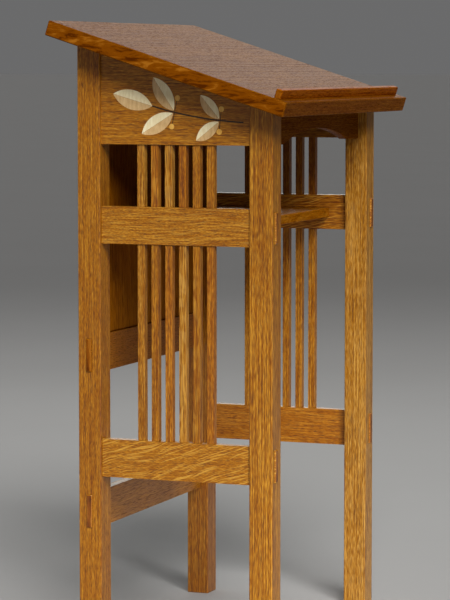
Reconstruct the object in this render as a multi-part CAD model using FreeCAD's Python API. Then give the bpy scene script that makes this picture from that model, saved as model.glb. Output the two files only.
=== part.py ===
import FreeCAD, Part
import math
import os

# An oak atlas stand: four square posts, through-tenoned side rails with spindle galleries,
# a framed back, a shelf, and a sloped reading board with a ledge.
# The front faces -Y, the left side faces -X and +Z is up. Sizes are millimetres and degrees.
# The pieces are modelled about the middle of the four posts. At the end they are moved
# together, so that the origin lies on the floor under the middle of the overall box.

# Posts
STAND_W = 546.0            # over the posts, left to right
STAND_D = 356.0            # over the posts, front to back
POST = 42.0                # square section
POST_ARRIS = 1.2

# Rails: thickness, and how far each face lies behind the posts' outer faces
RAIL_T = 18.0
SIDE_REVEAL = 5.0
BACK_REVEAL = 9.0
APRON_REVEAL = 17.0

# Heights, stacked from the floor up
BACK_LOW_LIFT = 204.0      # floor to the lower back rail
BACK_LOW_H = 64.0
SIDE_STEP = 29.0           # lower back rail up to the lower side rails
SIDE_LOW_H = 66.0
BACK_MID_STEP = 112.0      # top of the lower side rails up to the middle back rail
BACK_MID_H = 64.0
LOWER_BAY_H = 337.0        # clear height of the lower spindles
SIDE_MID_H = 64.0
UPPER_BAY_H = 106.0        # clear height of the upper spindles
SIDE_TOP_FRONT_H = 74.0    # top side rail where it meets the front post
BACK_TOP_H = 80.0          # top back rail at its front face

# Front apron with its arched lower edge; its ends are level with the top side rails
ARCH_RISE = 24.0
ARCH_END = 56.0            # flat left at each end of the arch

# Mortise and tenon joints
TENON_T = 11.0
TENON_INSET = 1.5          # inner cheek behind the rail's inner face
TENON_PROUD = 2.5          # through tenons beyond the posts' faces
TENON_CHAMFER = 1.5
SIDE_SHOULDER = 5.0
BACK_SHOULDER = 3.0
TOP_SHOULDER = 10.0        # wood left above a blind tenon, below the board
BLIND_TENON = 26.0         # top side rails into the posts
BLIND_WEB = 3.0            # wood left between blind tenons that meet in a post
MORTISE_END_GAP = 1.0
GLUE_GAP = 0.1

# Spindles
SPINDLE = 13.0             # square section
SPINDLE_COUNT = 6          # in each bay
SPINDLE_PITCH = 25.4
SPINDLE_SHOULDER = 2.0
SPINDLE_TENON = 10.0       # length of each stub tenon
SPINDLE_END_GAP = 0.5

# Back panel, held in grooves
PANEL_T = 12.0
PANEL_SINK = 4.0           # its front face behind the back rails' front faces
PANEL_GROOVE = 8.0
PANEL_GAP = 1.0            # room for the panel to swell
PANEL_QUIRK = 2.0          # height and depth of the fine line between the panel and the rail below it
PANEL_QUIRK_DEPTH = 3.0

# Shelf, housed in the middle side rails
SHELF_T = 18.0
SHELF_LIFT = 22.0          # above the underside of the middle side rails
SHELF_OFFSET = 38.0        # front edge behind the front posts
SHELF_HOUSING = 6.0
SHELF_ARRIS = 1.5

# Reading board and ledge
SLOPE = 17.7               # falls towards the front
BOARD_T = 26.0
BOARD_SIDE_LAP = 57.0      # beyond the posts at each side
BOARD_FRONT_LAP = 39.0     # beyond the posts, measured down the slope
BOARD_REAR_LAP = 36.0
BOARD_ARRIS = 1.5
LEDGE_T = 12.0
LEDGE_H = 15.0
LEDGE_SETBACK = 17.0       # behind the board's front edge
LEDGE_INSET = 14.0         # inside the board's ends
LEDGE_ARRIS = 1.5

# Buttons that hold the board down, and their screws
BUTTONS_PER_SIDE = 3
BUTTON_W = 26.0            # along the rail
BUTTON_L = 30.0            # away from the rail
BUTTON_T = 15.0
BUTTON_END = 44.0          # post to the middle of the nearest button
BUTTON_CLEAR = 2.0         # block to the rail's inner face
TONGUE_T = 6.0
TONGUE_L = 7.0             # into the rail
SLOT_SIDE_GAP = 4.0
SLOT_END_GAP = 1.0
SLOT_FLOOR_GAP = 0.6
SCREW_R = 2.0
SCREW_HEAD_R = 4.0
SCREW_HEAD_H = 2.2
SCREW_BITE = 14.0          # into the board
SCREW_DRIVE_W = 1.0
SCREW_DRIVE_D = 1.0
SCREW_GAP = 0.1

# Inlay of leaves and berries in the left top rail
INLAY_T = 1.2
STEM_W = 2.6
STEM_SAG = 5.0
STEM_FRONT = 12.0          # stem's front end from the front post
STEM_REAR = 95.0           # stem's rear end from the rear post
LEAF_PAIRS = 2
LEAF_LENGTH = 0.57         # share of the rail's height at the leaf
LEAF_HALF_WIDTH = 0.22     # share of the leaf's length
LEAF_ANGLE = 44.0          # from the stem
LEAF_START = 3.4           # leaf's point from the middle of the stem
BERRY_R = 4.8
BERRY_REACH = 0.21         # share of the rail's height there, stem to berry's middle
VEIN_GAP = 0.3             # rail left between two pieces of inlay

TINY = 0.001

LEFT, RIGHT = -1, 1
FRONT, REAR = -1, 1
SIDE_NAMES = {LEFT: "left", RIGHT: "right"}
ROW_NAMES = {FRONT: "front", REAR: "rear"}

# Places worked out from the sizes above
HALF_W = STAND_W / 2
HALF_D = STAND_D / 2
BAY_X = HALF_W - POST      # inner side faces of the posts
BAY_Y = HALF_D - POST      # rail ends at the posts
BEYOND = HALF_D            # how far a cutting tool runs past what it cuts

BACK_LOW_Z = BACK_LOW_LIFT
SIDE_LOW_Z = BACK_LOW_Z + BACK_LOW_H + SIDE_STEP
SIDE_LOW_TOP = SIDE_LOW_Z + SIDE_LOW_H
BACK_MID_Z = SIDE_LOW_TOP + BACK_MID_STEP
BACK_MID_TOP = BACK_MID_Z + BACK_MID_H
SIDE_MID_Z = SIDE_LOW_TOP + LOWER_BAY_H
SIDE_MID_TOP = SIDE_MID_Z + SIDE_MID_H
SIDE_TOP_Z = SIDE_MID_TOP + UPPER_BAY_H
SHELF_Z = SIDE_MID_Z + SHELF_LIFT

SIDE_OUTER = HALF_W - SIDE_REVEAL
SIDE_INNER = SIDE_OUTER - RAIL_T
SIDE_TENON_IN = SIDE_INNER + TENON_INSET
SIDE_TENON_OUT = SIDE_TENON_IN + TENON_T
BACK_OUTER = HALF_D - BACK_REVEAL
BACK_INNER = BACK_OUTER - RAIL_T
BACK_TENON_IN = BACK_INNER + TENON_INSET
APRON_FRONT = -HALF_D + APRON_REVEAL
APRON_BACK = APRON_FRONT + RAIL_T
APRON_TENON_BACK = APRON_BACK - TENON_INSET
PANEL_FRONT = BACK_INNER + PANEL_SINK
PANEL_BACK = PANEL_FRONT + PANEL_T
CROSS_END = SIDE_TENON_IN - BLIND_WEB      # blind tenon ends of the apron and the top back rail


def seat_z(y):
    """Height of the board's underside at a place front to back."""
    return SIDE_TOP_Z + SIDE_TOP_FRONT_H + (y + BAY_Y) * math.tan(math.radians(SLOPE))


BACK_TOP_Z = seat_z(BACK_INNER) - BACK_TOP_H
BOARD_HALF_W = HALF_W + BOARD_SIDE_LAP
BOARD_FRONT = -HALF_D / math.cos(math.radians(SLOPE)) - BOARD_FRONT_LAP
BOARD_REAR = HALF_D / math.cos(math.radians(SLOPE)) + BOARD_REAR_LAP


def box(x, y, z):
    """A square-edged solid between pairs of limits, given in either order."""
    x0, x1 = sorted(x)
    y0, y1 = sorted(y)
    z0, z1 = sorted(z)
    return Part.makeBox(x1 - x0, y1 - y0, z1 - z0, FreeCAD.Vector(x0, y0, z0))


def grown(limits, by):
    """Limits pushed apart by a clearance at each end."""
    low, high = sorted(limits)
    return (low - by, high + by)


def on_slope(shape):
    """Lay a shape modelled flat, with its seat at z = 0, on the sloped seat of the board."""
    shape.rotate(FreeCAD.Vector(0, 0, 0), FreeCAD.Vector(1, 0, 0), SLOPE)
    shape.translate(FreeCAD.Vector(0, 0, seat_z(0)))
    return shape


def below_board(shape):
    """Cut a shape off along the sloped seat of the board."""
    reach = STAND_W + STAND_D
    above = on_slope(box((-reach, reach), (-reach, reach), (0, reach)))
    return shape.cut(above)


def edges_in_plane(shape, axis, place):
    """The edges of a shape that lie wholly in the plane where the axis has this value."""
    return [edge for edge in shape.Edges
            if all(abs(getattr(vertex.Point, axis) - place) < TINY for vertex in edge.Vertexes)]


def edges_along(shape, axis):
    """The straight edges of a shape that run along one axis."""
    found = []
    for edge in shape.Edges:
        run = edge.Vertexes[-1].Point - edge.Vertexes[0].Point
        if abs(abs(getattr(run, axis)) - edge.Length) < TINY:
            found.append(edge)
    return found


def joined(shapes):
    """Several touching or overlapping shapes as one solid without seams."""
    return shapes[0].multiFuse(shapes[1:]).removeSplitter()


def side_tenon_x(side):
    return (side * SIDE_TENON_IN, side * SIDE_TENON_OUT)


def back_tenon_y():
    return (BACK_TENON_IN, BACK_TENON_IN + TENON_T)


def apron_tenon_y():
    return (APRON_TENON_BACK - TENON_T, APRON_TENON_BACK)


def side_through_z(rail_z, rail_h):
    return (rail_z + SIDE_SHOULDER, rail_z + rail_h - SIDE_SHOULDER)


def back_through_z(rail_z, rail_h):
    return (rail_z + BACK_SHOULDER, rail_z + rail_h - BACK_SHOULDER)


def side_blind_z(row):
    """Heights of the blind tenon of a top side rail, in the front or the rear post."""
    low_end = min(row * BAY_Y, row * (BAY_Y + BLIND_TENON))
    return (SIDE_TOP_Z + SIDE_SHOULDER, seat_z(low_end) - TOP_SHOULDER)


def apron_blind_z():
    return (SIDE_TOP_Z + SIDE_SHOULDER, seat_z(APRON_FRONT) - TOP_SHOULDER)


def back_blind_z():
    return (BACK_TOP_Z + BACK_SHOULDER, seat_z(BACK_INNER) - TOP_SHOULDER)


def side_mortises(side, row):
    """What the side rails take out of a post: two through mortises and a blind one."""
    x = grown(side_tenon_x(side), GLUE_GAP)
    through = grown((row * BAY_Y, row * HALF_D), BEYOND)
    blind = (row * (BAY_Y - BEYOND), row * (BAY_Y + BLIND_TENON + MORTISE_END_GAP))
    return [
        box(x, through, grown(side_through_z(SIDE_LOW_Z, SIDE_LOW_H), GLUE_GAP)),
        box(x, through, grown(side_through_z(SIDE_MID_Z, SIDE_MID_H), GLUE_GAP)),
        box(x, blind, grown(side_blind_z(row), GLUE_GAP)),
    ]


def front_mortises(side):
    """What the apron takes out of a front post."""
    x = (side * (BAY_X - BEYOND), side * (CROSS_END + MORTISE_END_GAP))
    return [box(x, grown(apron_tenon_y(), GLUE_GAP), grown(apron_blind_z(), GLUE_GAP))]


def back_mortises(side):
    """What the back rails and the panel take out of a rear post."""
    y = grown(back_tenon_y(), GLUE_GAP)
    through = grown((side * BAY_X, side * HALF_W), POST)
    blind = (side * (BAY_X - BEYOND), side * (CROSS_END + MORTISE_END_GAP))
    groove = (side * (BAY_X - BEYOND), side * (BAY_X + PANEL_GROOVE))
    return [
        box(through, y, grown(back_through_z(BACK_LOW_Z, BACK_LOW_H), GLUE_GAP)),
        box(through, y, grown(back_through_z(BACK_MID_Z, BACK_MID_H), GLUE_GAP)),
        box(blind, y, grown(back_blind_z(), GLUE_GAP)),
        box(groove, grown((PANEL_FRONT, PANEL_BACK), GLUE_GAP), (BACK_MID_TOP, BACK_TOP_Z)),
    ]


def post(side, row):
    """A square post with eased arrises, its top cut to the slope and its mortises cut."""
    x = (side * BAY_X, side * HALF_W)
    y = (row * BAY_Y, row * HALF_D)
    blank = box(x, y, (0, seat_z(HALF_D) + BEYOND))
    arrises = edges_along(blank, "z") + edges_in_plane(blank, "z", 0)
    blank = below_board(blank.makeChamfer(POST_ARRIS, arrises))
    cross = front_mortises(side) if row == FRONT else back_mortises(side)
    return blank.cut(side_mortises(side, row) + cross)


def spindle_places():
    """Places of one bay's spindles, front to back."""
    first = -(SPINDLE_COUNT - 1) * SPINDLE_PITCH / 2
    return [first + index * SPINDLE_PITCH for index in range(SPINDLE_COUNT)]


def spindle_mortises(side, edge_z, into):
    """Sockets for the spindles' stub tenons in a rail's edge, sunk up (1) or down (-1)."""
    middle = side * (SIDE_INNER + RAIL_T / 2)
    half = SPINDLE / 2 - SPINDLE_SHOULDER + GLUE_GAP
    z = (edge_z - into, edge_z + into * (SPINDLE_TENON + SPINDLE_END_GAP))
    return [box(grown((middle, middle), half), grown((y, y), half), z) for y in spindle_places()]


def through_bar(x, y, z, axis):
    """A rail's core with its two through tenons, their ends chamfered."""
    core = box(x, y, z)
    ends = {"x": x, "y": y}[axis]
    end_edges = edges_in_plane(core, axis, ends[0]) + edges_in_plane(core, axis, ends[1])
    return core.makeChamfer(TENON_CHAMFER, end_edges)


def side_rail(side, rail_z, rail_h):
    """A level side rail with a through tenon at each end."""
    body = box((side * SIDE_INNER, side * SIDE_OUTER), (-BAY_Y, BAY_Y), (rail_z, rail_z + rail_h))
    reach = HALF_D + TENON_PROUD
    core = through_bar(side_tenon_x(side), (-reach, reach), side_through_z(rail_z, rail_h), "y")
    return joined([body, core])


def side_lower_rail(side):
    rail = side_rail(side, SIDE_LOW_Z, SIDE_LOW_H)
    return rail.cut(spindle_mortises(side, SIDE_LOW_TOP, -1))


def side_mid_rail(side):
    """The middle side rail, mortised on both edges and housed for the shelf."""
    rail = side_rail(side, SIDE_MID_Z, SIDE_MID_H)
    housing = box((side * (SIDE_INNER - BEYOND), side * (SIDE_INNER + SHELF_HOUSING)),
                  (shelf_front() - GLUE_GAP, BAY_Y),
                  grown((SHELF_Z, SHELF_Z + SHELF_T), GLUE_GAP))
    sockets = spindle_mortises(side, SIDE_MID_Z, 1) + spindle_mortises(side, SIDE_MID_TOP, -1)
    return rail.cut(sockets + [housing])


def side_top_rail(side):
    """The top side rail: level below, cut to the slope above, with blind tenons."""
    body = box((side * SIDE_INNER, side * SIDE_OUTER), (-BAY_Y, BAY_Y),
               (SIDE_TOP_Z, seat_z(BAY_Y) + BEYOND))
    tenons = [box(side_tenon_x(side), (row * BAY_Y, row * (BAY_Y + BLIND_TENON)), side_blind_z(row))
              for row in (FRONT, REAR)]
    rail = joined([below_board(body)] + tenons)
    slots = [button_slot(side, place) for place in button_places()]
    rail = rail.cut(spindle_mortises(side, SIDE_TOP_Z, 1) + slots)
    if side == LEFT:
        rail = rail.cut([piece for pieces in inlay().values() for piece in pieces])
    return rail


def spindle(side, y, z_low, z_high):
    """A square spindle with a stub tenon at each end."""
    middle = side * (SIDE_INNER + RAIL_T / 2)
    body = box(grown((middle, middle), SPINDLE / 2), grown((y, y), SPINDLE / 2), (z_low, z_high))
    half = SPINDLE / 2 - SPINDLE_SHOULDER
    core = box(grown((middle, middle), half), grown((y, y), half), grown((z_low, z_high), SPINDLE_TENON))
    return joined([body, core])


def cross_tenons(y, z):
    """The blind tenons at both ends of the apron or of the top back rail."""
    return [box((side * BAY_X, side * CROSS_END), y, z) for side in (LEFT, RIGHT)]


def arch_tool():
    """The round cut that gives the apron its arched lower edge."""
    half = BAY_X - ARCH_END
    radius = (half ** 2 + ARCH_RISE ** 2) / (2 * ARCH_RISE)
    centre = FreeCAD.Vector(0, APRON_FRONT - BEYOND, SIDE_TOP_Z + ARCH_RISE - radius)
    return Part.makeCylinder(radius, RAIL_T + 2 * BEYOND, centre, FreeCAD.Vector(0, 1, 0))


def apron():
    """The front apron, set back between the front posts."""
    body = box((-BAY_X, BAY_X), (APRON_FRONT, APRON_BACK), (SIDE_TOP_Z, seat_z(0)))
    tenons = cross_tenons(apron_tenon_y(), apron_blind_z())
    return joined([below_board(body).cut(arch_tool())] + tenons)


def back_rail(rail_z, rail_h):
    """A back rail with a through tenon at each end."""
    body = box((-BAY_X, BAY_X), (BACK_INNER, BACK_OUTER), (rail_z, rail_z + rail_h))
    reach = HALF_W + TENON_PROUD
    core = through_bar((-reach, reach), back_tenon_y(), back_through_z(rail_z, rail_h), "x")
    return joined([body, core])


def back_mid_rail():
    """The middle back rail, grooved above for the panel."""
    groove = box((-BAY_X, BAY_X), grown((PANEL_FRONT, PANEL_BACK), GLUE_GAP),
                 (BACK_MID_TOP - PANEL_GROOVE, BACK_MID_TOP + BEYOND))
    return back_rail(BACK_MID_Z, BACK_MID_H).cut(groove)


def back_top_rail():
    """The top back rail, grooved below for the panel and cut to the slope above."""
    body = box((-BAY_X, BAY_X), (BACK_INNER, BACK_OUTER), (BACK_TOP_Z, seat_z(HALF_D)))
    groove = box((-BAY_X, BAY_X), grown((PANEL_FRONT, PANEL_BACK), GLUE_GAP),
                 (BACK_TOP_Z - BEYOND, BACK_TOP_Z + PANEL_GROOVE))
    return joined([below_board(body).cut(groove)] + cross_tenons(back_tenon_y(), back_blind_z()))


def back_panel():
    """The solid back panel, notched at its corners round the rails' tenons and quirked along its foot."""
    y = (PANEL_FRONT, PANEL_BACK)
    half = BAY_X + PANEL_GROOVE - PANEL_GAP
    wide = box((-half, half), y, (BACK_MID_TOP, BACK_TOP_Z))
    tall = box(grown((-BAY_X, BAY_X), -PANEL_GAP), y,
               (BACK_MID_TOP - PANEL_GROOVE, BACK_TOP_Z + PANEL_GROOVE - PANEL_GAP))
    quirk = box((-half, half), (PANEL_FRONT - BEYOND, PANEL_FRONT + PANEL_QUIRK_DEPTH),
                (BACK_MID_TOP, BACK_MID_TOP + PANEL_QUIRK))
    return joined([wide, tall]).cut(quirk)


def shelf_front():
    return -BAY_Y + SHELF_OFFSET


def shelf():
    """The shelf, its ends in the rails' housings, notched round the rear posts."""
    half = SIDE_INNER + SHELF_HOUSING - GLUE_GAP
    board = box((-half, half), (shelf_front(), PANEL_FRONT), (SHELF_Z, SHELF_Z + SHELF_T))
    front = [edge for edge in edges_in_plane(board, "y", shelf_front()) if edge.Length > SHELF_T]
    board = board.makeChamfer(SHELF_ARRIS, front)
    notches = [box((side * (BAY_X - GLUE_GAP), side * (half + BEYOND)),
                   (BAY_Y - GLUE_GAP, PANEL_FRONT + BEYOND),
                   grown((SHELF_Z, SHELF_Z + SHELF_T), BEYOND)) for side in (LEFT, RIGHT)]
    return board.cut(notches)


def top_board():
    """The reading board with eased arrises and pilot holes for the button screws."""
    board = box((-BOARD_HALF_W, BOARD_HALF_W), (BOARD_FRONT, BOARD_REAR), (0, BOARD_T))
    board = board.makeChamfer(BOARD_ARRIS, board.Edges)
    holes = [Part.makeCylinder(SCREW_R + SCREW_GAP, SCREW_BITE + SCREW_GAP,
                               FreeCAD.Vector(button_middle(side), place, 0))
             for side in (LEFT, RIGHT) for place in button_places()]
    return on_slope(board.cut(holes))


def ledge():
    """The strip that stops a book from sliding off the board."""
    half = BOARD_HALF_W - LEDGE_INSET
    front = BOARD_FRONT + LEDGE_SETBACK
    strip = box((-half, half), (front, front + LEDGE_T), (BOARD_T, BOARD_T + LEDGE_H))
    arrises = edges_in_plane(strip, "z", BOARD_T + LEDGE_H) + edges_along(strip, "z")
    return on_slope(strip.makeChamfer(LEDGE_ARRIS, arrises))


def button_places():
    """Middles of one side's buttons, measured up the slope."""
    reach = (BAY_Y - BUTTON_END) / math.cos(math.radians(SLOPE))
    step = 2 * reach / (BUTTONS_PER_SIDE - 1)
    return [-reach + index * step for index in range(BUTTONS_PER_SIDE)]


def button_middle(side):
    return side * (SIDE_INNER - BUTTON_CLEAR - BUTTON_L / 2)


def button_slot(side, place):
    """The slot in a top side rail that a button's tongue hooks under."""
    x = (side * (SIDE_INNER - BEYOND), side * (SIDE_INNER + TONGUE_L + SLOT_END_GAP))
    y = grown((place, place), BUTTON_W / 2 + SLOT_SIDE_GAP)
    z = (-BUTTON_T - SLOT_FLOOR_GAP, -BUTTON_T + TONGUE_T)
    return on_slope(box(x, y, z))


def screw_cone(side, place, gap):
    """A countersunk screw's head, or its seat when a gap is given."""
    base = FreeCAD.Vector(button_middle(side), place, -BUTTON_T)
    return Part.makeCone(SCREW_HEAD_R + gap, SCREW_R + gap, SCREW_HEAD_H, base)


def button(side, place):
    """A wooden button: a block screwed up to the board, its tongue hooked into the rail."""
    middle = button_middle(side)
    y = grown((place, place), BUTTON_W / 2)
    block = box(grown((middle, middle), BUTTON_L / 2), y, (-BUTTON_T, 0))
    tongue = box((middle, side * (SIDE_INNER + TONGUE_L)), y, (-BUTTON_T, -BUTTON_T + TONGUE_T))
    bore = Part.makeCylinder(SCREW_R + SCREW_GAP, BUTTON_T, FreeCAD.Vector(middle, place, -BUTTON_T))
    return on_slope(joined([block, tongue]).cut([bore, screw_cone(side, place, SCREW_GAP)]))


def button_screw(side, place):
    """A slotted countersunk screw, driven up through a button into the board."""
    middle = button_middle(side)
    base = FreeCAD.Vector(middle, place, -BUTTON_T)
    shank = Part.makeCylinder(SCREW_R, BUTTON_T + SCREW_BITE, base)
    drive = box(grown((middle, middle), SCREW_DRIVE_W / 2), grown((place, place), SCREW_HEAD_R + SCREW_GAP),
                (-BUTTON_T - SCREW_GAP, -BUTTON_T + SCREW_DRIVE_D))
    return on_slope(joined([shank, screw_cone(side, place, 0)]).cut(drive))


def stem_circle():
    """Middle, radius, half angle and tilt of the arc that the inlay's stem follows."""
    front_y = -BAY_Y + STEM_FRONT
    rear_y = BAY_Y - STEM_REAR
    front_z = rail_middle_z(front_y)
    rear_z = rail_middle_z(rear_y)
    chord = math.hypot(rear_y - front_y, rear_z - front_z)
    radius = (chord ** 2 / 4 + STEM_SAG ** 2) / (2 * STEM_SAG)
    tilt = math.atan2(rear_z - front_z, rear_y - front_y)
    rise = radius - STEM_SAG
    centre = ((front_y + rear_y) / 2 - rise * math.sin(tilt), (front_z + rear_z) / 2 + rise * math.cos(tilt))
    return centre, radius, math.asin(chord / 2 / radius), tilt


def rail_middle_z(y):
    return (SIDE_TOP_Z + seat_z(y)) / 2


def rail_height(y):
    return seat_z(y) - SIDE_TOP_Z


def stem_station(share, offset=0.0):
    """Point and heading on the stem, share 0 at its front end and 1 at its rear end."""
    centre, radius, half_angle, tilt = stem_circle()
    heading = tilt - half_angle + 2 * half_angle * share
    reach = radius - offset
    return (centre[0] + reach * math.sin(heading), centre[1] - reach * math.cos(heading)), heading


def moved(point, heading, along, across=0.0):
    """A point pushed along a heading, and across it to its left."""
    return (point[0] + along * math.cos(heading) - across * math.sin(heading),
            point[1] + along * math.sin(heading) + across * math.cos(heading))


def on_rail_face(point):
    return FreeCAD.Vector(-SIDE_OUTER, point[0], point[1])


def slab(edges):
    """A closed outline on the left top rail's outer face as a thin solid let into the rail."""
    face = Part.Face(Part.Wire(edges))
    return face.extrude(FreeCAD.Vector(INLAY_T, 0, 0))


def line(start, end):
    return Part.LineSegment(on_rail_face(start), on_rail_face(end)).toShape()


def arc(start, middle, end):
    return Part.Arc(on_rail_face(start), on_rail_face(middle), on_rail_face(end)).toShape()


def half_leaf(base, heading, length, hand):
    """Half a pointed leaf, to the left (1) or right (-1) of its midrib."""
    foot = moved(base, heading, 0, hand * VEIN_GAP / 2)
    tip = moved(base, heading, length, hand * VEIN_GAP / 2)
    belly = moved(base, heading, length / 2, hand * (VEIN_GAP / 2 + length * LEAF_HALF_WIDTH))
    return slab([arc(foot, belly, tip), line(tip, foot)])


def stem_band():
    """The stem itself, a narrow band between two arcs."""
    half = STEM_W / 2
    outer = [stem_station(share, -half)[0] for share in (0, 0.5, 1)]
    inner = [stem_station(share, half)[0] for share in (1, 0.5, 0)]
    return slab([arc(*outer), line(outer[2], inner[0]), arc(*inner), line(inner[2], outer[0])])


def stalk(point, heading, reach):
    """A short stalk from the middle of the stem to a berry."""
    half = STEM_W / 4
    corners = [moved(point, heading, along, across)
               for along, across in ((0, -half), (reach, -half), (reach, half), (0, half))]
    return slab([line(corners[index - 1], corners[index]) for index in range(len(corners))])


def berry(point):
    circle = Part.Circle(on_rail_face(point), FreeCAD.Vector(1, 0, 0), BERRY_R)
    return slab([circle.toShape()])


def inlay():
    """The leafy spray: pairs of leaves that grow with the rail, berries between, one leaf last."""
    pieces = {"inlay_leaves_light": [], "inlay_leaves_shade": [], "inlay_berries": []}
    stem = [stem_band()]
    for index in range(LEAF_PAIRS):
        point, heading = stem_station((index + 0.5) / LEAF_PAIRS)
        height = rail_height(point[0])
        reach = height * BERRY_REACH
        for hand in (1, -1):
            turned = heading + hand * math.radians(LEAF_ANGLE)
            base = moved(point, turned, LEAF_START)
            pieces["inlay_leaves_light"].append(half_leaf(base, turned, height * LEAF_LENGTH, 1))
            pieces["inlay_leaves_shade"].append(half_leaf(base, turned, height * LEAF_LENGTH, -1))
            square = heading + hand * math.pi / 2
            stem.append(stalk(point, square, reach - BERRY_R - VEIN_GAP))
            pieces["inlay_berries"].append(berry(moved(point, square, reach)))
    point, heading = stem_station(1)
    base = moved(point, heading, VEIN_GAP)
    length = rail_height(point[0]) * LEAF_LENGTH
    pieces["inlay_leaves_light"].append(half_leaf(base, heading, length, 1))
    pieces["inlay_leaves_shade"].append(half_leaf(base, heading, length, -1))
    pieces["inlay_stem"] = [joined(stem)]
    return pieces


def stand():
    """Every piece of the stand by its name."""
    pieces = {
        "front_apron": apron(),
        "back_lower_rail": back_rail(BACK_LOW_Z, BACK_LOW_H),
        "back_mid_rail": back_mid_rail(),
        "back_top_rail": back_top_rail(),
        "back_panel": back_panel(),
        "shelf": shelf(),
        "top_board": top_board(),
        "book_ledge": ledge(),
    }
    for side, side_name in SIDE_NAMES.items():
        pieces[side_name + "_lower_rail"] = side_lower_rail(side)
        pieces[side_name + "_mid_rail"] = side_mid_rail(side)
        pieces[side_name + "_top_rail"] = side_top_rail(side)
        for row, row_name in ROW_NAMES.items():
            pieces[row_name + "_" + side_name + "_post"] = post(side, row)
        for number, y in enumerate(spindle_places(), start=1):
            pieces[f"{side_name}_upper_spindle_{number}"] = spindle(side, y, SIDE_MID_TOP, SIDE_TOP_Z)
            pieces[f"{side_name}_lower_spindle_{number}"] = spindle(side, y, SIDE_LOW_TOP, SIDE_MID_Z)
        for number, place in enumerate(button_places(), start=1):
            pieces[f"{side_name}_button_{number}"] = button(side, place)
    pieces["button_screws"] = Part.makeCompound(
        [button_screw(side, place) for side in SIDE_NAMES for place in button_places()])
    for name, slabs in inlay().items():
        pieces[name] = Part.makeCompound(slabs)
    return pieces


os.makedirs("parts", exist_ok=True)
pieces = stand()
board_middle = pieces["top_board"].BoundBox.Center.y
for name, shape in pieces.items():
    shape.translate(FreeCAD.Vector(0, -board_middle, 0))
    shape.exportStep(f"parts/{name}.step")
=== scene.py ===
from collections import namedtuple
import math

import bpy
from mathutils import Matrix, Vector

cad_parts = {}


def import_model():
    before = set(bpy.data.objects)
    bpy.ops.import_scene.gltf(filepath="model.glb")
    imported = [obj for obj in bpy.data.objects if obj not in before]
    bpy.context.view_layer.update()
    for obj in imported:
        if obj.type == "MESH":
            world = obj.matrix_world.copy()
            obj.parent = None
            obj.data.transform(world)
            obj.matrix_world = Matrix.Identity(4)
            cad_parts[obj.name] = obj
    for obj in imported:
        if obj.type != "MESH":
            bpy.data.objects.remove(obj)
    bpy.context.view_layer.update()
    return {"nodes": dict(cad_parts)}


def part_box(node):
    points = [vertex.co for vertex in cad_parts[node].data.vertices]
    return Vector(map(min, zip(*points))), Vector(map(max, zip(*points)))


# The atlas stand's looks: oak under a satin finish, veneer inlay and steel screws, on a pale floor
# with a painted pool of light, in soft light. Lengths are in metres and angles in degrees, unless a
# comment says otherwise.

# Camera: where it stands, its heading from +Y towards +X, how far it looks down, and its lens
CAMERA_PLACE = (-4.500, -1.715, 1.010)
CAMERA_HEADING = 68.94
CAMERA_TILT = 5.04
CAMERA_LENS = 162.1         # millimetres
CAMERA_SENSOR = 36.0        # millimetres

# Eased arrises that catch the light, on edges that turn by more than the angle, and how near
# vertices are to be merged before that
EDGE_ROUND = 0.0007
EDGE_STEPS = 2
EDGE_ANGLE = 30.0
WELD_DISTANCE = 0.00001

# Floor: its tone far away, a painted pool of light beside the stand and painted shade well in front
# of it, the distances from the origin and the places along Y where one gives way to the next, and
# its faint mottling
FLOOR_SIZE = 400.0
FLOOR_PAINTED_LIGHT_POOL = (0.45, 0.45, 0.453)
FLOOR_FAR = (0.17, 0.17, 0.172)
FLOOR_PAINTED_FRONT_SHADE = (0.05, 0.05, 0.051)
FLOOR_LIGHT_POOL_FADE = (1.0, 8.0)
FLOOR_FRONT_SHADE_FADE = (-1.2, -3.2)
FLOOR_MOTTLE = [(0.3, (0.97, 0.97, 0.97)), (0.7, (1.0, 1.0, 1.0))]
FLOOR_MOTTLES_PER_METRE = 1.2
FLOOR_ROUGHNESS = 0.85

# Light from all round: its radiance at the back, overhead and at the front right, and the span of
# a unit direction's Z, or of its Y and X, over which the back gives way to each
WORLD_BACK = (0.145, 0.145, 0.146)
WORLD_OVER = (0.055, 0.055, 0.056)
WORLD_FRONT = (0.030, 0.030, 0.031)
WORLD_RISE = (0.08, 0.35)
WORLD_FRONT_Y = (0.15, -0.25)
WORLD_FRONT_X = (-0.2, 0.4)


# ---------------------------------------------------------------- node helpers

# The mix node's sockets for colours: their names aren't unique, so they go by number
MIX_SHARE = 0
MIX_FIRST = 6
MIX_SECOND = 7
MIX_RESULT = 2


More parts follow.
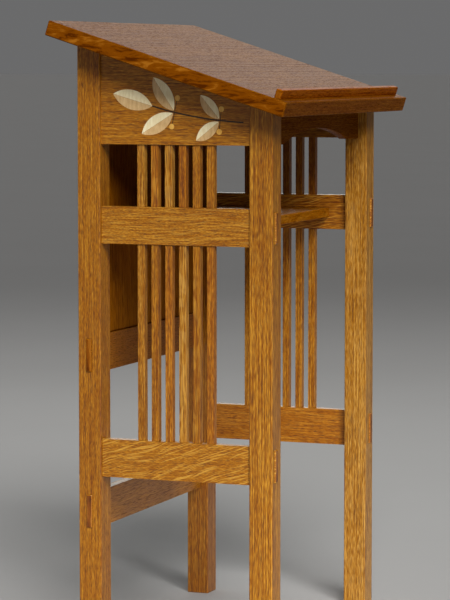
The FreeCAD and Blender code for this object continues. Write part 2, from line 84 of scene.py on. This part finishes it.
class Net:
    """Short calls for building a shader node tree."""

    def __init__(self, tree):
        self.tree = tree

    def make(self, kind, inputs=None, **settings):
        """Add a node, with its settings and its inputs."""
        node = self.tree.nodes.new(kind)
        for name, value in settings.items():
            setattr(node, name, value)
        for key, value in (inputs or {}).items():
            self.feed(node, key, value)
        return node

    def feed(self, node, key, value):
        """Link a socket to an input, or set the input's own value, where a colour is opaque."""
        socket = node.inputs[key]
        if isinstance(value, bpy.types.NodeSocket):
            self.tree.links.new(value, socket)
        elif socket.type == "RGBA":
            socket.default_value = (*value, 1.0)
        else:
            socket.default_value = value

    def math(self, operation, first, second=0.0):
        return self.make("ShaderNodeMath", {0: first, 1: second}, operation=operation).outputs[0]

    def plus(self, first, *others):
        for other in others:
            first = self.math("ADD", first, other)
        return first

    def minus(self, first, second):
        return self.math("SUBTRACT", first, second)

    def times(self, first, second):
        return self.math("MULTIPLY", first, second)

    def scaled(self, vector, scale):
        """A vector multiplied by another, part by part."""
        node = self.make("ShaderNodeVectorMath", {0: vector, 1: scale}, operation="MULTIPLY")
        return node.outputs["Vector"]

    def length(self, vector):
        node = self.make("ShaderNodeVectorMath", {0: vector}, operation="LENGTH")
        return node.outputs["Value"]

    def alignment(self, first, second):
        """The dot product of two vectors."""
        node = self.make("ShaderNodeVectorMath", {0: first, 1: second}, operation="DOT_PRODUCT")
        return node.outputs["Value"]

    def noise(self, vector, scale=1.0, detail=2.0, roughness=0.5, distortion=0.0):
        node = self.make("ShaderNodeTexNoise", {"Vector": vector, "Scale": scale, "Detail": detail,
                                                "Roughness": roughness, "Distortion": distortion})
        return node.outputs["Fac"]

    def span(self, value, low, high, to_low=0.0, to_high=1.0):
        """Smoothly map a value's range to another."""
        node = self.make("ShaderNodeMapRange", {"Value": value, "From Min": low, "From Max": high,
                                                "To Min": to_low, "To Max": to_high},
                         interpolation_type="SMOOTHSTEP")
        return node.outputs["Result"]

    def ramp(self, value, stops):
        """A colour ramp from (place, colour) stops."""
        node = self.make("ShaderNodeValToRGB", {"Fac": value})
        elements = node.color_ramp.elements
        while len(elements) < len(stops):
            elements.new(0.5)
        for element, (place, shade) in zip(elements, stops):
            element.position = place
            element.color = (*shade, 1.0)
        return node.outputs["Color"]

    def mix(self, share, first, second, blend="MIX"):
        """Two colours mixed: the share is the second one's."""
        node = self.make("ShaderNodeMix", data_type="RGBA", blend_type=blend)
        for key, value in ((MIX_SHARE, share), (MIX_FIRST, first), (MIX_SECOND, second)):
            self.feed(node, key, value)
        return node.outputs[MIX_RESULT]

    def object_place(self):
        """The point's place in its object, which is its place in the frame."""
        return self.make("ShaderNodeTexCoord").outputs["Object"]

    def bump(self, height, strength, depth):
        inputs = {"Height": height, "Strength": strength, "Distance": depth}
        return self.make("ShaderNodeBump", inputs).outputs["Normal"]

    def surface(self, inputs):
        """End a material with one shader."""
        shader = self.make("ShaderNodeBsdfPrincipled", inputs)
        self.make("ShaderNodeOutputMaterial", {"Surface": shader.outputs[0]})


def emptied(owner):
    """The node tree of a material or world, with nothing in it yet."""
    owner.use_nodes = True
    owner.node_tree.nodes.clear()
    return Net(owner.node_tree)


def colour(red, green, blue):
    """A linear colour from 0 to 255 display values."""
    return tuple((part / 255 / 12.92 if part < 10 else ((part / 255 + 0.055) / 1.055) ** 2.4)
                 for part in (red, green, blue))


# ---------------------------------------------------------------- oak

OAK_DARK = colour(124, 63, 0)
OAK_MID = colour(168, 103, 2)
OAK_LIGHT = colour(212, 150, 44)
OAK_PORE = colour(70, 30, 0)
OAK_RAY = colour(222, 168, 66)
OAK_END_LIGHT = colour(170, 104, 24)
OAK_END = colour(130, 68, 2)
OAK_SOAKED = colour(84, 36, 0)
# the pale colour of arrises, for wear and a painted highlight together
OAK_WEAR_AND_HIGHLIGHT = colour(206, 150, 52)

# Figure's range, from dark to light, and each layer's share in it
FIGURE_DARK = 0.40
FIGURE_MIDDLE = 0.50
FIGURE_LIGHT = 0.62
RING_SHARE = 0.09
BROAD_SHARE = 0.10
STREAK_SHARE = 0.45
FLECK_SHARE = 0.36

# Noise scales, in features a metre along the log and across it both ways
WANDER = (1.8, 7.0, 7.0)
RIPPLE = (16.0, 40.0, 40.0)
BROAD = (2.5, 16.0, 16.0)
STREAKS = (6.0, 700.0, 700.0)
FLECKS = (60.0, 900.0, 900.0)
DASHES = (40.0, 750.0, 750.0)
SWAY = (9.0, 12.0, 12.0)
RIBBONS = (19.0, 60.0, 470.0)
BLOTCHES = (30.0, 75.0, 17.0)
RINGS_PER_METRE = 320.0
RUB_AND_HIGHLIGHT_PATCHES_PER_METRE = 24.0

# How far rings wander and ripple, and ray ribbons sway
WANDER_REACH = 0.007
RIPPLE_REACH = 0.0006
SWAY_REACH = 0.030

# Spans over which a noise turns into a mark: most of a noise lies in the first one
NOISE_SPAN = (0.3, 0.7)
SPRING_WOOD = (0.60, 0.40)
PORE_EDGE = (0.53, 0.64)
RAY_EDGE = (0.52, 0.64)
SHADE_EDGE = (0.46, 0.34)
RUB_AND_HIGHLIGHT_EDGE = (0.35, 0.60)

# Cosines: between a face's normal and the grain where end grain starts, and between the true and
# the rounded normal where an arris is paler, from wear and a painted highlight
END_TURN = (0.75, 0.95)
WEAR_AND_HIGHLIGHT_TURN = (0.995, 0.90)

# How strongly pores, the shade between rays and the paler arrises of wear and painted highlight
# show, how wide those arrises are, and the share of the pores that is everywhere, where the rest
# is in spring wood only
PORE_STRENGTH = 0.55
SHADE_STRENGTH = 0.30
WEAR_AND_HIGHLIGHT_STRENGTH = 0.22
WEAR_AND_HIGHLIGHT_WIDTH = 0.0012
PORES_EVERYWHERE = 0.65
PORES_IN_SPRING = 0.35

# Roughness in spring wood and in summer wood, what a pore adds and a ray takes away, and the
# height of the streaks against the depth of a pore
SPRING_ROUGHNESS = 0.42
SUMMER_ROUGHNESS = 0.36
PORE_ROUGHNESS = 0.20
RAY_SMOOTHNESS = 0.06
STREAK_HEIGHT = 0.4

# End grain's colours, from the least blotched wood to the most
END_STOPS = [(0.36, OAK_END_LIGHT), (0.45, OAK_END), (0.51, OAK_END), (0.60, OAK_SOAKED)]

LOG_INPUTS = (("Vector", "NodeSocketVector"), ("Grain", "NodeSocketVector"),
              ("Run", "NodeSocketFloat"), ("Rays", "NodeSocketFloat"),
              ("Ray Slant", "NodeSocketFloat"), ("Contrast", "NodeSocketFloat"),
              ("Tone", "NodeSocketFloat"), ("Tint", "NodeSocketColor"))
LOG_OUTPUTS = (("Color", "NodeSocketColor"), ("Roughness", "NodeSocketFloat"),
               ("Height", "NodeSocketFloat"))


def growth_rings(net, place):
    """Rings round the pith, which wander slowly along the log."""
    radius = net.length(net.scaled(place, (0.0, 1.0, 1.0)))
    wander = net.noise(net.scaled(place, WANDER), roughness=0.45)
    ripple = net.noise(net.scaled(place, RIPPLE))
    radius = net.plus(radius, net.times(wander, WANDER_REACH), net.times(ripple, RIPPLE_REACH))
    rings = net.make("ShaderNodeTexNoise", {"W": net.times(radius, RINGS_PER_METRE), "Scale": 1.0,
                                            "Detail": 2.5, "Roughness": 0.62}, noise_dimensions="1D")
    return rings.outputs["Fac"]


def open_pores(net, fine, rings):
    """Short dark dashes, more crowded in each ring's spring wood."""
    dashes = net.noise(net.scaled(fine, DASHES), detail=1.0)
    spring = net.span(rings, *SPRING_WOOD)
    crowding = net.plus(net.times(spring, PORES_IN_SPRING), PORES_EVERYWHERE)
    return net.times(net.span(dashes, *PORE_EDGE), crowding)


def ray_ribbons(net, place, slant):
    """The noise of the ray figure: wavy ribbons that sweep at a slant to the grain."""
    turned = net.make("ShaderNodeVectorRotate", {"Vector": place, "Angle": slant},
                      rotation_type="Y_AXIS").outputs[0]
    sway = net.noise(net.scaled(place, SWAY))
    lift = net.make("ShaderNodeCombineXYZ", {2: net.times(sway, SWAY_REACH)}).outputs[0]
    swept = net.make("ShaderNodeVectorMath", {0: turned, 1: lift}, operation="ADD").outputs[0]
    return net.noise(net.scaled(swept, RIBBONS), detail=1.5)


def with_end_grain(net, base, place, grain):
    """Orange end grain, with dark blotches where it drank more stain."""
    normal = net.make("ShaderNodeTexCoord").outputs["Normal"]
    end = net.span(net.math("ABSOLUTE", net.alignment(normal, grain)), *END_TURN)
    blotches = net.noise(net.scaled(place, BLOTCHES), detail=5.0, roughness=0.68, distortion=0.6)
    return net.mix(end, base, net.ramp(blotches, END_STOPS))


def with_worn_and_highlit_arrises(net, base, place):
    """Arrises paler in patches: partly rubbed by handling, partly a painted highlight."""
    rounded = net.make("ShaderNodeBevel", {"Radius": WEAR_AND_HIGHLIGHT_WIDTH}, samples=4).outputs[0]
    flat = net.make("ShaderNodeNewGeometry").outputs["Normal"]
    turn = net.alignment(rounded, flat)
    rub_and_highlight_patches = net.noise(place, scale=RUB_AND_HIGHLIGHT_PATCHES_PER_METRE)
    wear_and_highlight = net.times(net.span(turn, *WEAR_AND_HIGHLIGHT_TURN), net.span(rub_and_highlight_patches, *RUB_AND_HIGHLIGHT_EDGE))
    # paler arrises: wear from handling together with a painted highlight
    return net.mix(net.times(wear_and_highlight, WEAR_AND_HIGHLIGHT_STRENGTH), base, OAK_WEAR_AND_HIGHLIGHT)


def oak_log():
    """Oak in a log's own frame: X runs along the grain and the pith lies on Y = Z = 0."""
    group = bpy.data.node_groups.new("oak_log", "ShaderNodeTree")
    for direction, sockets in (("INPUT", LOG_INPUTS), ("OUTPUT", LOG_OUTPUTS)):
        for name, kind in sockets:
            group.interface.new_socket(name, in_out=direction, socket_type=kind)
    net = Net(group)
    given = net.make("NodeGroupInput").outputs
    place = given["Vector"]
    run = net.make("ShaderNodeCombineXYZ", {0: given["Run"], 1: 1.0, 2: 1.0}).outputs[0]
    fine = net.scaled(place, run)

    rings = growth_rings(net, place)
    broad = net.noise(net.scaled(place, BROAD))
    streaks = net.noise(net.scaled(fine, STREAKS), roughness=0.55)
    flecks = net.noise(net.scaled(fine, FLECKS), detail=1.0)
    figure = net.plus(net.times(rings, RING_SHARE), net.times(broad, BROAD_SHARE),
                      net.times(streaks, STREAK_SHARE), net.times(flecks, FLECK_SHARE))
    figure = net.times(net.minus(figure, FIGURE_MIDDLE), given["Contrast"])
    figure = net.plus(figure, given["Tone"], FIGURE_MIDDLE)
    base = net.ramp(figure, [(FIGURE_DARK, OAK_DARK), (FIGURE_MIDDLE, OAK_MID),
                             (FIGURE_LIGHT, OAK_LIGHT)])

    pores = open_pores(net, fine, rings)
    base = net.mix(net.times(pores, PORE_STRENGTH), base, OAK_PORE)

    # pale rays, with a darker shade between them
    ribbons = ray_ribbons(net, place, given["Ray Slant"])
    rays = net.times(net.span(ribbons, *RAY_EDGE), given["Rays"])
    base = net.mix(rays, base, OAK_RAY)
    shade = net.times(net.span(ribbons, *SHADE_EDGE), given["Rays"])
    base = net.mix(net.times(shade, SHADE_STRENGTH), base, OAK_DARK)
    base = net.mix(1.0, base, given["Tint"], blend="MULTIPLY")

    base = with_end_grain(net, base, place, given["Grain"])
    base = with_worn_and_highlit_arrises(net, base, place)

    rough = net.span(rings, *NOISE_SPAN, SPRING_ROUGHNESS, SUMMER_ROUGHNESS)
    rough = net.plus(rough, net.times(pores, PORE_ROUGHNESS))
    rough = net.minus(rough, net.times(rays, RAY_SMOOTHNESS))
    height = net.minus(net.times(streaks, STREAK_HEIGHT), pores)
    net.make("NodeGroupOutput", {"Color": base, "Roughness": rough, "Height": height})
    return group


# ---------------------------------------------------------------- each piece's oak

# Turns that bring a piece's grain onto X, and a flat board's width onto Z, and the grain's own
# direction
GRAIN_TURNS = {"x": (0, 0, 0), "flat": (90, 0, 0), "y": (0, 0, -90), "z": (0, 90, 0)}
GRAIN_AXES = {"x": (1, 0, 0), "flat": (1, 0, 0), "y": (0, 1, 0), "z": (0, 0, 1)}

# A piece's figure: how fast it changes along the grain, how strong its rays are and how they
# slant, its contrast and tone, and a tint that multiplies its colour
Figure = namedtuple("Figure", "run rays slant contrast tone tint")

PLAIN = (1.0, 1.0, 1.0)
YELLOW = (1.0, 1.06, 1.8)
STRAW = (0.98, 1.09, 2.4)
RED = (1.0, 0.92, 0.85)
BROWN = (0.85, 0.80, 0.80)
DARK = (0.51, 0.39, 0.24)
RUSSET = (0.81, 0.53, 0.18)

FIGURES = {
    "left_lower_rail": Figure(3.0, 0.58, -19.0, 0.7, 0.0, PLAIN),
    "left_mid_rail": Figure(3.4, 0.30, -3.0, 0.85, -0.005, PLAIN),
    "left_top_rail": Figure(2.0, 0.12, 4.0, 0.7, -0.01, PLAIN),
    "right_lower_rail": Figure(2.4, 0.20, 2.0, 0.65, -0.01, RED),
    "right_mid_rail": Figure(1.5, 0.70, -14.0, 1.3, 0.02, RED),
    "back_lower_rail": Figure(1.2, 0.10, 0.0, 0.4, -0.005, PLAIN),
    "back_mid_rail": Figure(2.0, 0.08, 4.0, 0.45, -0.025, BROWN),
    "back_panel": Figure(1.0, 0.10, 4.0, 0.6, -0.02, BROWN),
    # the apron's dark tint is painted shade under the board
    "front_apron": Figure(1.5, 0.15, 3.0, 0.8, -0.01, DARK),
    "shelf": Figure(1.5, 0.15, 3.0, 0.6, -0.01, RED),
    "top_board": Figure(2.0, 0.10, 2.0, 0.7, 0.0, DARK),
    "book_ledge": Figure(1.5, 0.15, 3.0, 0.9, 0.0, RUSSET),
    "front_left_post": Figure(1.2, 0.06, 0.0, 1.15, 0.005, PLAIN),
    "front_right_post": Figure(1.3, 0.06, 0.0, 1.05, 0.025, STRAW),
    "rear_left_post": Figure(2.0, 0.05, 0.0, 0.75, -0.015, PLAIN),
    # the rear right post's darker tone and brown tint are painted shade
    "rear_right_post": Figure(1.2, 0.08, 0.0, 0.9, -0.02, BROWN),
    "left_lower_spindle_1": Figure(1.6, 0.06, 0.0, 1.0, -0.02, RED),
    "left_lower_spindle_2": Figure(0.8, 0.20, 0.0, 1.2, -0.005, PLAIN),
    "left_lower_spindle_3": Figure(0.8, 0.30, 0.0, 1.6, 0.015, YELLOW),
    "left_lower_spindle_4": Figure(1.6, 0.06, 0.0, 1.0, -0.015, RED),
    "left_lower_spindle_5": Figure(1.6, 0.06, 0.0, 1.0, -0.015, PLAIN),
    "left_lower_spindle_6": Figure(1.6, 0.06, 0.0, 1.0, -0.01, YELLOW),
    "left_upper_spindle_3": Figure(1.6, 0.06, 0.0, 1.0, -0.025, RED),
    "left_upper_spindle_4": Figure(0.8, 0.20, 0.0, 1.5, 0.01, YELLOW),
    "left_upper_spindle_5": Figure(0.8, 0.30, 0.0, 1.4, -0.01, RED),
    "left_upper_spindle_6": Figure(1.6, 0.06, 0.0, 1.2, 0.02, YELLOW),
}
# the far upper spindles' darker tone and brown tint are painted shade under the board
SHADED_RIGHT_UPPER_SPINDLE = Figure(1.6, 0.06, 0.0, 1.0, -0.03, BROWN)
USUAL_FIGURE = Figure(1.6, 0.10, 0.0, 1.0, 0.0, PLAIN)

# Gloss of the finish, which some pieces have less of, and the coat's roughness
USUAL_GLOSS = 0.45
DRY = 0.01
GLOSS = {"top_board": DRY, "book_ledge": DRY, "front_apron": DRY, "back_panel": DRY, "shelf": DRY,
         "back_mid_rail": 0.15}
COAT_ROUGHNESS = 0.3

# Where pieces are cut from their log: the step along it from one piece to the next, the turn in
# radians that varies them, and how far and how variably they are shifted from the pith. Posts and
# spindles are rift sawn, with the rings at a slant to all four faces. Rails and like pieces are
# shifted from the frame's own origin, so that rings lie nearly square to a rail's broad faces.
LOG_STEP = 1.7
LOG_TURN = 0.9
RIFT_SHIFT = 0.11
RIFT_VARIES = 0.02
RAIL_SHIFT = 0.22
RAIL_VARIES = (0.03, 0.05)
LIKE_RAILS = ("front_apron", "shelf", "top_board", "book_ledge")
OTHER_SHIFT = (0.14, 0.12)
OTHER_VARIES = (0.03, 0.04)


def grain_of(name):
    """The way the grain runs in a piece."""
    if "post" in name or "spindle" in name or name == "back_panel":
        return "z"
    if "button" in name or name.startswith(("left", "right")):
        return "y"
    if name in ("top_board", "shelf"):
        return "flat"
    return "x"


def shift_of(number, name):
    """The shift that puts a turned piece in its log: along it, and from the pith both ways."""
    along = LOG_STEP * number
    turn = LOG_TURN * number
    if "rail" in name or name in LIKE_RAILS:
        return (along, RAIL_VARIES[0] * math.sin(turn),
                RAIL_SHIFT + RAIL_VARIES[1] * math.sin(2 * turn))
    if "post" in name or "spindle" in name:
        low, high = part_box(name)
        return (along, RIFT_SHIFT + RIFT_VARIES * math.sin(turn) - (low[1] + high[1]) / 2,
                RIFT_SHIFT + RIFT_VARIES * math.cos(turn) + (low[0] + high[0]) / 2)
    return (along, OTHER_SHIFT[0] + OTHER_VARIES[0] * math.sin(turn),
            OTHER_SHIFT[1] + OTHER_VARIES[1] * math.cos(turn))


def figure_of(name):
    """A piece's figure, or the usual one."""
    if name.startswith("right_upper_spindle"):
        return SHADED_RIGHT_UPPER_SPINDLE
    return FIGURES.get(name, USUAL_FIGURE)


def oak(name, number, log):
    """One piece's own oak, cut from the log."""
    material = bpy.data.materials.new("oak_" + name)
    net = emptied(material)
    grain = grain_of(name)
    figure = figure_of(name)
    gloss = GLOSS.get(name, USUAL_GLOSS)
    turn = [math.radians(angle) for angle in GRAIN_TURNS[grain]]
    placed = net.make("ShaderNodeMapping", {"Vector": net.object_place(),
                                            "Location": shift_of(number, name), "Rotation": turn})
    wood = net.make("ShaderNodeGroup", {
        "Vector": placed.outputs[0], "Grain": GRAIN_AXES[grain], "Run": figure.run,
        "Rays": figure.rays, "Ray Slant": math.radians(figure.slant), "Contrast": figure.contrast,
        "Tone": figure.tone, "Tint": figure.tint}, node_tree=log).outputs
    net.surface({
        "Base Color": wood["Color"], "Roughness": wood["Roughness"],
        "Normal": net.bump(wood["Height"], strength=0.3, depth=0.0003),
        "Specular IOR Level": gloss, "Coat Weight": gloss / 2, "Coat Roughness": COAT_ROUGHNESS})
    return material


# ---------------------------------------------------------------- inlay and screws

# Veneer of each inlay node: its wood, its light and dark display colours, and how many features
# its figure has in a metre of X, Y and Z. Its shade is figure in part and broader clouds in part.
LEAF_FIGURE = (60, 260, 60)
VENEERS = {
    "inlay_leaves_light": ("maple", (255, 243, 204), (238, 218, 168), LEAF_FIGURE),
    "inlay_leaves_shade": ("satinwood", (230, 196, 142), (204, 162, 106), LEAF_FIGURE),
    "inlay_berries": ("cherry", (246, 196, 96), (216, 156, 62), (200, 200, 60)),
    "inlay_stem": ("walnut", (58, 34, 20), (32, 18, 10), (60, 200, 60)),
}
FIGURE_SHARE = 0.6
CLOUD_SHARE = 0.4
CLOUDS_PER_METRE = 45.0
VENEER_DARK_AT = 0.36
VENEER_LIGHT_AT = 0.62
VENEER_ROUGHNESS = (0.42, 0.34)

SCREWS = "button_screws"
STEEL_STOPS = [(0.35, colour(96, 92, 88)), (0.65, colour(160, 156, 150))]
TARNISH_PER_METRE = 900.0
TARNISH_ROUGHNESS = (0.3, 0.5)


def veneer(wood, light, dark, scale):
    """A thin veneer with its own fine figure."""
    material = bpy.data.materials.new(wood)
    net = emptied(material)
    where = net.object_place()
    figure = net.noise(net.scaled(where, scale), detail=3.0, roughness=0.6, distortion=0.4)
    cloud = net.noise(where, scale=CLOUDS_PER_METRE)
    shade = net.plus(net.times(figure, FIGURE_SHARE), net.times(cloud, CLOUD_SHARE))
    net.surface({
        "Base Color": net.ramp(shade, [(VENEER_DARK_AT, colour(*dark)),
                                       (VENEER_LIGHT_AT, colour(*light))]),
        "Roughness": net.span(figure, *NOISE_SPAN, *VENEER_ROUGHNESS),
        "Normal": net.bump(figure, strength=0.15, depth=0.0002),
        "Coat Weight": 0.25, "Coat Roughness": 0.28})
    return material


def steel():
    """Dull turned steel, slightly oxidised."""
    material = bpy.data.materials.new("screw_steel")
    net = emptied(material)
    tarnish = net.noise(net.object_place(), scale=TARNISH_PER_METRE, detail=3.0)
    net.surface({
        "Base Color": net.ramp(tarnish, STEEL_STOPS),
        "Metallic": 1.0, "Roughness": net.span(tarnish, *NOISE_SPAN, *TARNISH_ROUGHNESS),
        "Normal": net.bump(tarnish, strength=0.1, depth=0.0001)})
    return material


# ---------------------------------------------------------------- dressing the nodes

def dress(node, material):
    """Give a CAD node its material."""
    slots = node.data.materials
    if not slots:
        slots.append(material)
    for index in range(len(slots)):
        slots[index] = material


def ease(node):
    """Round a node's arrises a little."""
    weld = node.modifiers.new("weld", "WELD")
    weld.merge_threshold = WELD_DISTANCE
    bevel = node.modifiers.new("eased arrises", "BEVEL")
    bevel.width = EDGE_ROUND
    bevel.segments = EDGE_STEPS
    bevel.limit_method = "ANGLE"
    bevel.angle_limit = math.radians(EDGE_ANGLE)
    bevel.harden_normals = True


# ---------------------------------------------------------------- stage

def floor():
    """A pale floor, with a painted pool of light round the stand and painted shade well in front."""
    half = FLOOR_SIZE / 2
    corners = [(-half, -half, 0), (half, -half, 0), (half, half, 0), (-half, half, 0)]
    mesh = bpy.data.meshes.new("floor")
    mesh.from_pydata(corners, [], [(0, 1, 2, 3)])
    thing = bpy.data.objects.new("floor", mesh)
    bpy.context.scene.collection.objects.link(thing)
    material = bpy.data.materials.new("pale_floor")
    net = emptied(material)
    where = net.object_place()
    along_y = net.make("ShaderNodeSeparateXYZ", {0: where}).outputs["Y"]
    # a painted pool of light round the stand, fading to the far tone
    tone = net.mix(net.span(net.length(where), *FLOOR_LIGHT_POOL_FADE), FLOOR_PAINTED_LIGHT_POOL, FLOOR_FAR)
    # painted shade on the floor well in front of the stand
    tone = net.mix(net.span(along_y, *FLOOR_FRONT_SHADE_FADE), tone, FLOOR_PAINTED_FRONT_SHADE)
    clouds = net.noise(where, scale=FLOOR_MOTTLES_PER_METRE, detail=3.0)
    mottle = net.ramp(clouds, FLOOR_MOTTLE)
    net.surface({"Base Color": net.mix(1.0, tone, mottle, blend="MULTIPLY"),
                 "Roughness": FLOOR_ROUGHNESS})
    mesh.materials.append(material)


def world():
    """Soft light from all round, which meets the floor without a line."""
    studio = bpy.data.worlds.new("studio")
    net = emptied(studio)
    way = net.make("ShaderNodeTexCoord").outputs["Generated"]
    parts = net.make("ShaderNodeSeparateXYZ", {0: way}).outputs
    tone = net.mix(net.span(parts["Z"], *WORLD_RISE), WORLD_BACK, WORLD_OVER)
    front = net.times(net.span(parts["Y"], *WORLD_FRONT_Y), net.span(parts["X"], *WORLD_FRONT_X))
    tone = net.mix(front, tone, WORLD_FRONT)
    light = net.make("ShaderNodeBackground", {"Color": tone, "Strength": 1.0})
    net.make("ShaderNodeOutputWorld", {"Surface": light.outputs[0]})
    bpy.context.scene.world = studio


def aimed(name, lamp, place, target):
    """Hang a lamp at a place and turn it to a target."""
    thing = bpy.data.objects.new(name, lamp)
    thing.location = place
    aim = Vector(target) - Vector(place)
    thing.rotation_euler = aim.to_track_quat("-Z", "Y").to_euler()
    bpy.context.scene.collection.objects.link(thing)


def sun(name, direction, angle, strength, tint):
    """Wide even light from far away, coming from a direction."""
    lamp = bpy.data.lights.new(name, "SUN")
    lamp.angle = math.radians(angle)
    lamp.energy = strength
    lamp.color = tint
    aimed(name, lamp, direction, (0, 0, 0))


def softbox(name, place, target, size, spread, power, tint):
    """A square soft light aimed at a point, with a grid that narrows its beam."""
    lamp = bpy.data.lights.new(name, "AREA")
    lamp.shape = "SQUARE"
    lamp.size = size
    lamp.spread = math.radians(spread)
    lamp.energy = power
    lamp.color = tint
    aimed(name, lamp, place, target)


def spot(name, place, target, cone, radius, power):
    """A soft-edged round light aimed at a point."""
    lamp = bpy.data.lights.new(name, "SPOT")
    lamp.spot_size = math.radians(cone)
    lamp.spot_blend = 1.0
    lamp.shadow_soft_size = radius
    lamp.energy = power
    aimed(name, lamp, place, target)


def lights():
    """A wide key, a weak fill from behind, the sheen on the board and a lift for the feet."""
    sun("key", direction=(-6.7, -4.35, 6.0), angle=30.0, strength=3.15, tint=(1.0, 0.98, 0.94))
    sun("back_fill", direction=(3.0, 6.0, 4.0), angle=60.0, strength=0.5, tint=(1.0, 1.0, 1.0))
    softbox("board_sheen", place=(4.8, 1.3, 2.4), target=(0, 0, 1.0), size=3.0, spread=50.0,
            power=4.9, tint=(0.95, 1.0, 0.93))
    spot("feet", place=(-3.0, -2.9, 0.9), target=(0.05, 0, -0.15), cone=25.0, radius=0.4,
         power=250.0)


def camera():
    """The camera at the viewing angle, level across, looking slightly down."""
    lens = bpy.data.cameras.new("camera")
    lens.lens = CAMERA_LENS
    lens.sensor_width = CAMERA_SENSOR
    thing = bpy.data.objects.new("camera", lens)
    thing.location = CAMERA_PLACE
    thing.rotation_euler = (math.radians(90 - CAMERA_TILT), 0, math.radians(-CAMERA_HEADING))
    bpy.context.scene.collection.objects.link(thing)
    bpy.context.scene.camera = thing


# ---------------------------------------------------------------- the stand and its stage

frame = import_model()

log = oak_log()
for number, (name, node) in enumerate(sorted(frame["nodes"].items())):
    if name not in VENEERS and name != SCREWS:
        dress(node, oak(name, number, log))
        ease(node)
for name, (wood, light, dark, scale) in VENEERS.items():
    dress(frame["nodes"][name], veneer(wood, light, dark, scale))
dress(frame["nodes"][SCREWS], steel())

bpy.context.scene.view_settings.view_transform = "Standard"
floor()
world()
camera()
lights()
